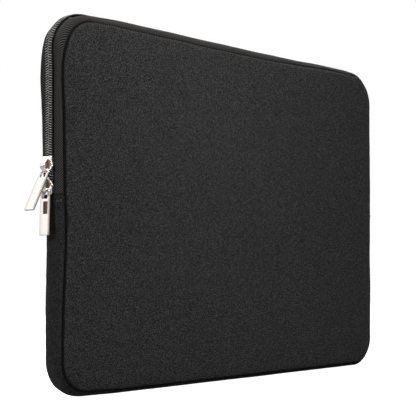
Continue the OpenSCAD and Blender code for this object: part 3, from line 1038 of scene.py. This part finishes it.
for (side, y_sign), phase in zip(PANEL_SIDES, (0.0, 0.5)):
    add_piece(side + "_coil_helix", softened(coil(y_sign, phase)), NYLON,
              node=side + "_coil")
for side, y_sign in PANEL_SIDES:
    add_piece(side + "_coil_cord_twist", softened(cord(y_sign)), CORD,
              node=side + "_coil_cord")


# ---------------------------------------------------------------- small closed shapes
def capsule(start, end, radius, sides, levels):
    """A rod with round ends, with the given number of rings in each end."""
    start, end = np.array(start, float), np.array(end, float)
    axis = (end - start) / np.linalg.norm(end - start)
    reference = np.array([0.0, 0, 1]) if abs(axis[2]) < 0.9 else np.array([1.0, 0, 0])
    a = np.cross(axis, reference)
    a /= np.linalg.norm(a)
    b = np.cross(axis, a)
    tilts = [k / levels * math.pi / 2 for k in range(levels)]
    rings = [(start - axis * radius * math.sin(t), radius * math.cos(t))
             for t in reversed(tilts)]
    rings += [(end + axis * radius * math.sin(t), radius * math.cos(t)) for t in tilts]
    verts = [start - axis * radius]
    for centre, ring_radius in rings:
        for j in range(sides):
            angle = 2 * math.pi * j / sides
            verts.append(centre + ring_radius * (math.cos(angle) * a + math.sin(angle) * b))
    verts.append(end + axis * radius)
    faces = [[0, 1 + (j + 1) % sides, 1 + j] for j in range(sides)]
    faces += [[1 + i for i in ring_quad(ring, j, len(rings), sides)]
              for ring in range(len(rings) - 1) for j in range(sides)]
    last = 1 + (len(rings) - 1) * sides
    faces += [[last + j, last + (j + 1) % sides, len(verts) - 1] for j in range(sides)]
    return np.array(verts), faces


def inset_outline(outline, distance):
    """Moves a closed anticlockwise outline inwards by a small distance."""
    before = outline - np.roll(outline, 1, 0)
    after = np.roll(outline, -1, 0) - outline
    before /= np.linalg.norm(before, axis=1)[:, None]
    after /= np.linalg.norm(after, axis=1)[:, None]
    normal_before = np.stack([-before[:, 1], before[:, 0]], 1)
    normal_after = np.stack([-after[:, 1], after[:, 0]], 1)
    normal = unit(normal_before + normal_after)
    stretch = np.maximum((normal * normal_before).sum(1)[:, None], 0.5)
    return outline + normal * distance / stretch


def anticlockwise(outline):
    x, y = outline[:, 0], outline[:, 1]
    area = 0.5 * (x * np.roll(y, -1) - np.roll(x, -1) * y).sum()
    return outline if area > 0 else outline[::-1]


def round_polygon(corners, radii, segments):
    """Rounds the corners of a closed polygon; radii is one radius or one for each corner."""
    corners = np.asarray(corners, float)
    count = len(corners)
    radii = radii if isinstance(radii, list) else [radii] * count
    out = []
    for i, (corner, radius) in enumerate(zip(corners, radii)):
        back, ahead = corners[i - 1] - corner, corners[(i + 1) % count] - corner
        back /= np.linalg.norm(back)
        ahead /= np.linalg.norm(ahead)
        half = math.acos(float(np.clip(back @ ahead, -1, 1))) / 2
        reach = radius / math.tan(half)
        bisector = (back + ahead) / np.linalg.norm(back + ahead)
        centre = corner + bisector * (radius / math.sin(half))
        first, last = corner + back * reach - centre, corner + ahead * reach - centre
        angle = math.atan2(first[1], first[0])
        turn = (math.atan2(last[1], last[0]) - angle + math.pi) % (2 * math.pi) - math.pi
        for k in range(segments + 1):
            a = angle + turn * k / segments
            out.append(centre + radius * np.array([math.cos(a), math.sin(a)]))
    return np.array(out)


def split_edges(outline, step):
    """Splits long edges so that insets stay even."""
    out = []
    for a, b in zip(outline, np.roll(outline, -1, 0)):
        pieces = max(1, int(np.linalg.norm(b - a) / step))
        out += [a + (b - a) * j / pieces for j in range(pieces)]
    return np.array(out)


def slab(outline, levels, hole=None, pit=None):
    """A closed solid on a plane; verts are (across, along, height).

    levels: (height, inset) of the edge, bottom to top. hole: an outline cut right through.
    pit: (outline, depth, inset of its floor), sunk from the top.
    """
    verts, faces = [], []

    def add_ring(points, height):
        start = len(verts)
        verts.extend([(x, y, height) for x, y in points])
        return list(range(start, start + len(points)))

    def add_wall(rings, flip=False):
        for lower, upper in zip(rings[:-1], rings[1:]):
            for j in range(len(lower)):
                k = (j + 1) % len(lower)
                face = [lower[j], lower[k], upper[k], upper[j]]
                faces.append(face[::-1] if flip else face)

    def add_cap(loops, flip=False):
        bm = bmesh.new()
        number, edges = {}, []
        for loop in loops:
            corners = [bm.verts.new(verts[i]) for i in loop]
            number.update(zip(corners, loop))
            edges += [bm.edges.new((corners[j], corners[(j + 1) % len(corners)]))
                      for j in range(len(corners))]
        bmesh.ops.triangle_fill(bm, edges=edges, use_beauty=True,
                                normal=(0, 0, -1 if flip else 1))
        for face in bm.faces:
            faces.append([number[v] for v in face.verts])
        bm.free()

    outline = anticlockwise(outline)
    rings = [add_ring(inset_outline(outline, inset), height) for height, inset in levels]
    add_wall(rings)
    bottom, top = [rings[0]], [rings[-1]]
    if hole is not None:
        rings = [add_ring(inset_outline(hole, -inset), height) for height, inset in levels]
        add_wall(rings, flip=True)
        bottom.append(rings[0])
        top.append(rings[-1])
    if pit is not None:
        shape, depth, floor_inset = pit
        surface = levels[-1][0]
        rings = [add_ring(inset_outline(shape, inset), height) for height, inset in (
            (surface, -0.12), (surface - 0.06, 0.0),
            (surface - depth + 0.08, floor_inset), (surface - depth, floor_inset + 0.1))]
        add_wall(rings)
        top.append(rings[0])
        add_cap([rings[-1]])
    add_cap(bottom, flip=True)
    add_cap(top)
    return np.array(verts, float), faces


# ---------------------------------------------------------------- sliders
# Local axes: out from the seam, across (y), and along towards the nose.
TAIL_HALF_W = 4.3
PLATE_T = 0.9
CHANNEL_LOW = TAPE_H - 0.7 - 0.3
CHANNEL_TOP = PLATE_TOP - PLATE_T


def plate_outline(tail, nose):
    """(across, along) of a plate with these half widths at its tail and before its nose."""
    end = SLIDER_L / 2
    half = cut_corners([
        (tail - 0.55, -end), (tail - 0.12, -end + 0.12), (tail, -end + 0.6),
        (tail + 0.02, -3.6), (tail + 0.05, -2.2), (tail + 0.22, -1.25), (nose - 0.28, -0.62),
        (nose - 0.05, -0.2), (nose, 0.12), (nose - 0.1, 0.45), (nose - 0.55, 0.95),
        (0.72 * nose - 0.02, 1.95), (0.55 * nose, 2.95), (0.38 * nose, 4.05),
        (1.05, 5.05), (0.6, 5.6), (0.25, end - 0.02)])
    return np.concatenate([half, (half * [-1, 1])[::-1]])


# (across, along) of the flange at one edge of the channel
FLANGE = cut_corners([
    (3.47, -5.2), (4.1, -5.2), (4.27, -4.9), (4.29, -3.6), (4.32, -2.2), (4.5, -1.25),
    (4.95, -0.6), (5.2, -0.1), (5.05, 0.35), (4.4, 0.75), (3.8, 0.6), (3.5, -0.2),
    (3.47, -1.5)], 1, closed=True)


def slider_body():
    """Two plates, four flanges and the post; uvw z is 1 on the floor of the top hollow."""
    def stand(solid, height):
        verts, faces = solid
        return np.stack([verts[:, 2] + height, verts[:, 0], verts[:, 1]], 1), faces

    hollow_depth = 0.16
    hollow = round_polygon([(-2.4, -3.75), (2.4, -3.75), (2.4, 1.4), (1.3, 3.75),
                            (-1.3, 3.75), (-2.4, 1.4)], 0.6, 3)
    top_plate = slab(
        plate_outline(TAIL_HALF_W, NOSE_HALF_W),
        [(0, 0.22), (0.06, 0.08), (0.2, 0.0), (0.55, 0.0), (0.72, 0.05), (0.84, 0.17),
         (PLATE_T, 0.36)], pit=(hollow, hollow_depth, 0.05))
    x, y, z = top_plate[0].T
    # the hollow's floor, under the crown, takes the brown of the sunk field: a darker cavity,
    # and painted shade under the crown
    on_floor = ((np.abs(z - (PLATE_T - hollow_depth)) < 0.015)
                & (np.abs(x) < 2.45) & (np.abs(y) < 3.8))
    uvw = np.stack([0 * x, 0 * x, on_floor.astype(float)], 1)
    parts = [(*stand(top_plate, CHANNEL_TOP), uvw)]

    bottom_plate = slab(
        plate_outline(TAIL_HALF_W - 0.05, NOSE_HALF_W - 0.25),
        [(0, 0.36), (0.08, 0.15), (0.25, 0.02), (1.0, 0.0), (1.12, 0.06), (1.2, 0.2)])
    parts.append(stand(bottom_plate, CHANNEL_LOW - 1.2))

    for side in (-1, 1):
        outline = FLANGE * [side, 1]
        upper = slab(outline, [(0, 0.16), (0.08, 0.05), (0.2, 0.0),
                               (CHANNEL_TOP - TAPE_H + 0.1, 0.0)])
        parts.append(stand(upper, TAPE_H + 0.22))
        lower = slab(outline * [0.985, 1], [(0, 0.0), (0.9, 0.0), (1.05, 0.05), (1.1, 0.14)])
        parts.append(stand(lower, CHANNEL_LOW - 1.0))

    post = round_polygon([(0, 1.9), (0.5, 2.7), (0.42, 4.0), (0, 4.8), (-0.42, 4.0),
                          (-0.5, 2.7)], 0.12, 2)
    solid = slab(post, [(0, 0), (CHANNEL_TOP - CHANNEL_LOW + 0.6, 0)])
    parts.append(stand(solid, CHANNEL_LOW - 0.3))
    return join(parts)


def slider_crown():
    """An arch with a domed top, open at both sides for the pull's bar."""
    radius, height, half_length, sides = 5.0, 3.9, 4.3, 24
    end_angle = math.asin(half_length / radius)
    arch = [(radius * math.sin(t), height - radius + radius * math.cos(t))
            for t in np.linspace(-end_angle, end_angle, 27)]
    # (along, out from the plate)
    path = cut_corners([(-half_length + 0.02, -0.2), (-half_length, 0.5), *arch,
                        (half_length, 0.5), (half_length - 0.02, -0.2)], 1)
    tangent = np.gradient(path, axis=0)
    tangent /= np.linalg.norm(tangent, axis=1)[:, None]
    normals = np.stack([-tangent[:, 1], tangent[:, 0]], 1)
    verts = []
    for (along, out), (normal_along, normal_out) in zip(path, normals):
        # narrower and thicker towards the ends
        end = np.clip((abs(along) - 2.2) / 2.15, 0, 1)
        half_width = 2.2 - 0.95 * end ** 1.8
        thickness = 0.62 + 0.35 * end
        for j in range(sides):
            angle = 2 * math.pi * j / sides
            c, s = math.cos(angle), math.sin(angle)
            # superellipse section
            x = half_width * np.sign(c) * abs(c) ** 0.55
            y = 0.5 * thickness * np.sign(s) * abs(s) ** 0.6
            dome = (0.42 if y > -0.2 else 0.12) * (1 - (x / half_width) ** 2)
            offset = y - 0.5 * thickness - 0.36 + dome
            verts.append((out + normal_out * offset, x, along + normal_along * offset))
    verts = np.array(verts)
    verts[:, 0] += PLATE_TOP + 0.02
    return verts, tube_faces(len(path), sides)


def on_left_side(part, z, nose):
    """Places a slider part; nose is 1 when the nose points up."""
    out, across, along = part[0].T
    return (np.stack([-HALF_W - out, across, z + nose * along], 1), *part[1:])


for which, nose in (("upper", -1), ("lower", 1)):
    body = which + "_slider"
    for kind, part, material in (("_body", slider_body(), SUNK_NICKEL),
                                 ("_crown", slider_crown(), NICKEL)):
        add_cast(body + kind + "_cast", on_left_side(part, SLIDER_Z[which], nose), material,
                 body, body + kind)
    pin = frame["nodes"][which + "_lock_pin"]
    pin.data.materials.clear()
    pin.data.materials.append(SPRING)


# ---------------------------------------------------------------- pulls
def pull(turned_over):
    """A blade with a window and a sunk field; verts are (across, down the blade, outward).

    The bar's axis is at 0 down the blade. uvw is (across, down, 1 in the sunk field).
    """
    half_w, length, thickness = 4.3, 27.8, 1.6
    surface = thickness / 2
    field_left, field_right, field_start, field_end = -3.3, 0.9, 7.2, 14.9
    outline = round_polygon(
        [(-half_w + 0.1, -0.62), (half_w - 0.1, -0.62), (half_w, 6.5), (half_w, length),
         (-half_w, length), (-half_w, 6.5)], [1.9, 1.9, 0.01, 0.45, 0.45, 0.01], 6)
    window = round_polygon([(-2.5, 0.55), (2.5, 0.55), (2.5, 5.5), (-2.5, 5.5)], 0.7, 5)
    field = round_polygon([(field_left, field_start), (field_right, field_start),
                           (field_right, field_end), (field_left, field_end)], 0.3, 3)
    edge = [(0, 0.42), (0.07, 0.22), (0.2, 0.07), (0.38, 0.0)]
    levels = edge + [(thickness - height, inset) for height, inset in edge[::-1]]
    verts, faces = slab(split_edges(outline, 1.2), levels, hole=window,
                        pit=(split_edges(field, 1.0), 0.9, 0.05))
    verts[:, 2] -= surface
    across, down, outward = verts.T
    middle, half = (field_left + field_right) / 2, (field_right - field_left) / 2
    sunk = ((np.abs(across - middle) < half + 0.01)
            & (down > field_start - 0.02) & (down < field_end + 0.02)
            & (outward > -0.3) & (outward < surface - 0.2))
    # the window end is thinner than the blade
    verts[:, 2] *= 0.8 + 0.2 * ease((down - 4.0) / 2.5)
    if turned_over:
        verts[:, 0] *= -1
        verts[:, 2] *= -1
    uvw = np.stack([verts[:, 0], verts[:, 1], sunk.astype(float)], 1)
    bar = capsule((-3.6, 0, 0), (3.6, 0, 0), radius=0.6, sides=16, levels=3)
    return join([(verts, faces, uvw), bar])


def rest_angle(node, pivot):
    """The blade's angle about y at rest, from the free end of the CAD node."""
    coords = np.array([v.co for v in frame["nodes"][node].data.vertices]) * 1000
    reach = coords[:, [0, 2]] - pivot[[0, 2]]
    distance = np.linalg.norm(reach, axis=1)
    x, z = reach[distance > distance.max() - 0.25].mean(0)
    return math.atan2(-x, -z)


def hang(part, pivot, angle):
    """Hangs a pull from its pivot, facing left, then turns it by angle about y."""
    verts, faces, uvw = part
    x, z = -verts[:, 2], -verts[:, 1]
    turned_x = x * math.cos(angle) + z * math.sin(angle)
    turned_z = -x * math.sin(angle) + z * math.cos(angle)
    return np.stack([pivot[0] + turned_x, verts[:, 0], pivot[2] + turned_z], 1), faces, uvw


for which in ("upper", "lower"):
    node = which + "_pull"
    pivot = np.array(JOINTS[node + "_swing"]["pos_m"]) * 1000
    part = hang(pull(turned_over=which == "upper"), pivot, rest_angle(node, pivot))
    add_cast(node + "_cast", part, SUNK_NICKEL, node, node)


# ---------------------------------------------------------------- end tabs with bar tacks
def end_tab():
    """The right tab; uvw is (height in the tab, y, 0)."""
    # (out from the seam, y), from the rear seam to the middle
    half = [(out, SEAM_Y + dy) for out, dy in (
        (0.1, -0.3), (0.7, -0.1), (1.4, -0.25), (2.05, -0.7), (2.65, -1.4), (3.15, -2.3),
        (3.5, -3.3), (3.7, -4.6))]
    outer = cut_corners(with_mirror(half + [(3.78, 2.5), (3.8, 0)]))
    count = len(outer)
    y = outer[:, 1]
    inner = outer - np.stack([np.full(count, 0.5), np.sign(y) * 0.3 * (np.abs(y) > 5)], 1)
    ring = np.concatenate([outer, inner[::-1]])
    ripple = waves(51, 20, 4, 16)
    # (height in the tab, thinning of its edge)
    levels = ((0, 0.35), (0.12, 0.12), (0.4, 0.0), (1.2, 0.0), (2.0, 0.0), (2.8, 0.0),
              (3.6, 0.0), (4.2, 0.0), (4.45, 0.1), (4.55, 0.34))
    verts, uvw = [], []
    for height, thin in levels:
        out = ring[:, 0].copy()
        out[:count] += 0.10 * ripple(height * 3.0, y * 2.0) * (thin < 0.05) - thin * 0.5
        out[count:] += thin * 0.3
        for u, v in zip(out, ring[:, 1]):
            verts.append((HALF_W + u, v, TAB_LOW + 0.05 + height))
            uvw.append((height, v, 0))
    return np.array(verts), tube_faces(len(levels), len(ring)), np.array(uvw)


# y from the seam, then how far out the tab's face is there
TAB_FACE_BY_Y = ([-9, -4.6, -3.3, -2.3, -1.4, -0.7, -0.25, -0.1],
                 [3.85, 3.75, 3.52, 3.16, 2.65, 2.05, 1.4, 0.7])


def bar_tacks():
    """A row of small satin stitches near each seam, at the foot of the right tab."""
    rng = np.random.RandomState(7)
    stitches = []
    for side in (-1, 1):
        for k in range(7):
            y = side * (SEAM_Y - 3.3 + 0.42 * k)
            x = HALF_W + np.interp(abs(y) - SEAM_Y, *TAB_FACE_BY_Y)
            jitter = rng.uniform(-0.08, 0.08, 3)
            climb = 0.12 * k
            stitches.append(capsule(
                (x + 0.03, y + jitter[0], TAB_LOW - 0.35 + jitter[1] + climb),
                (x + 0.05, y + 0.12 * side, TAB_LOW + 1.2 + jitter[2] + climb),
                radius=0.13, sides=6, levels=2))
    return join(stitches)[:2]


def on_side(part, x_sign):
    return softened((part[0] * [x_sign, 1, 1], *part[1:]))


for side, x_sign in (("left", -1), ("right", 1)):
    add_piece(side + "_end_tab_folded", on_side(end_tab(), x_sign), TAB,
              node=side + "_end_tab")
    add_piece(side + "_tab_bar_tack", on_side(bar_tacks(), x_sign), TACK)

# ---------------------------------------------------------------- floor, in metres
scene = bpy.context.scene


def add_floor():
    half, z = 6.0, -0.0002
    mesh = bpy.data.meshes.new("floor")
    corners = [(-half, -half, z), (half, -half, z), (half, half, z), (-half, half, z)]
    mesh.from_pydata(corners, [], [(0, 1, 2, 3)])
    floor = bpy.data.objects.new("floor", mesh)
    scene.collection.objects.link(floor)
    material, g, shader = new_material("floor", {
        "Emission Color": (1, 1, 1, 1), "Roughness": 0.9, "Specular IOR Level": 0.0})
    # white to the camera, nearly unlit to everything else
    seen = g.node("LightPath").outputs["Is Camera Ray"]
    g.put(shader, "Emission Strength", g.mul_add(seen, 1.0, 0.04))
    mottle = g.noise(g.node("TexCoord").outputs["Object"], scale=1.2)
    g.put(shader, "Base Color", g.ramp(mottle, (0.3, 0.34), (0.7, 0.37)))
    mesh.materials.append(material)


# ---------------------------------------------------------------- world
# (position, RGB): once round from azimuth -180 to 180 degrees, pale walls and dim gaps
WALLS = (
    (0.00, (0.30, 0.27, 0.25)), (0.06, (0.55, 0.53, 0.52)), (0.14, (0.80, 0.79, 0.78)),
    (0.30, (0.75, 0.74, 0.73)), (0.36, (0.22, 0.18, 0.15)), (0.42, (0.16, 0.13, 0.10)),
    (0.47, (0.60, 0.58, 0.56)), (0.60, (0.70, 0.69, 0.68)), (0.68, (0.22, 0.19, 0.16)),
    (0.74, (0.25, 0.21, 0.18)), (0.79, (1.22, 1.17, 1.15)), (0.90, (1.30, 1.25, 1.22)),
    (0.95, (0.55, 0.48, 0.44)), (1.00, (0.30, 0.27, 0.25)))
# (position, grey or RGB): from straight down to straight up
RISE = ((0.0, 0.8), (0.46, 0.8), (0.495, (0.62, 0.58, 0.55)), (0.515, 0.97),
        (0.78, 1.05), (0.86, 0.4), (1.0, 0.7))


def add_world():
    """White to the camera, a room to glossy rays and a faint fill to the rest."""
    world = bpy.data.worlds.new("studio")
    scene.world = world
    world.use_nodes = True
    g = Graph(world.node_tree)
    output = g.node("OutputWorld")
    x, y, z = g.split(g.node("TexCoord").outputs["Generated"])
    azimuth = g.mul(g.math("ARCTAN2", y, x), 180 / math.pi)
    elevation = g.mul(g.math("ARCSINE", z), 180 / math.pi)
    wall = g.ramp(g.mul_add(azimuth, 1 / 360, 0.5), *WALLS)
    rise = g.ramp(g.mul_add(elevation, 1 / 180, 0.5), *RISE)
    room = g.tint(wall, rise)
    ray = g.node("LightPath").outputs

    def background(light, strength):
        return g.node("Background", {"Color": light, "Strength": strength}).outputs[0]

    to_camera = background((1, 1, 1, 1), 1.0)
    to_glossy = background(room, 1.0)
    to_diffuse = background((1, 1, 1, 1), 0.086)
    lit = g.node("MixShader", {0: ray["Is Glossy Ray"], 1: to_diffuse, 2: to_glossy})
    seen = g.node("MixShader", {0: ray["Is Camera Ray"], 1: lit.outputs[0], 2: to_camera})
    g.put(output, 0, seen.outputs[0])


# ---------------------------------------------------------------- lights and camera
def aim(ob, direction):
    ob.rotation_mode = "QUATERNION"
    ob.rotation_quaternion = direction.to_track_quat("-Z", "Y")


def area_light(name, place, target, size, power, spread=180):
    light = bpy.data.lights.new(name, "AREA")
    light.spread = math.radians(spread)
    light.shape = "RECTANGLE"
    light.size, light.size_y = size
    light.energy = power
    ob = bpy.data.objects.new(name, light)
    scene.collection.objects.link(ob)
    ob.location = place
    aim(ob, Vector(target) - Vector(place))


def add_camera():
    azimuth = math.radians(46.614)             # of the view, from +y towards +x
    pitch = math.radians(2.992)
    roll = math.radians(-0.263)
    distance = 0.76769
    target = Vector((-0.02325, 0.0, 0.12099))
    data = bpy.data.cameras.new("camera")
    camera = bpy.data.objects.new("camera", data)
    scene.collection.objects.link(camera)
    data.sensor_width = 36.0
    data.lens = 94.537212
    data.clip_start, data.clip_end = 0.01, 50
    forward = Vector((math.sin(azimuth) * math.cos(pitch),
                      math.cos(azimuth) * math.cos(pitch), math.sin(pitch)))
    camera.location = target - forward * distance
    camera.rotation_mode = "QUATERNION"
    level = forward.to_track_quat("-Z", "Y")
    camera.rotation_quaternion = level @ Quaternion((0, 0, 1), roll)
    scene.camera = camera


add_floor()
add_world()
area_light("key", place=(-0.07, -0.36, 0.46), target=(-0.055, 0, 0.14), size=(0.2, 0.2),
           power=0.74, spread=100)
area_light("side", place=(-1.25, -0.15, 0.65), target=(-0.16, 0, 0.12), size=(0.22, 0.5),
           power=11.0)
area_light("top", place=(-0.2, 0.05, 1.4), target=(-0.05, 0, 0.1), size=(0.8, 0.5), power=8)
area_light("back", place=(0.25, 1.1, 0.75), target=(0, 0, 0.1), size=(0.8, 0.6), power=10)
area_light("far_side", place=(1.2, 0.1, 0.7), target=(0.16, 0, 0.12), size=(0.4, 0.5),
           power=8)
add_camera()
scene.view_settings.view_transform = "Standard"
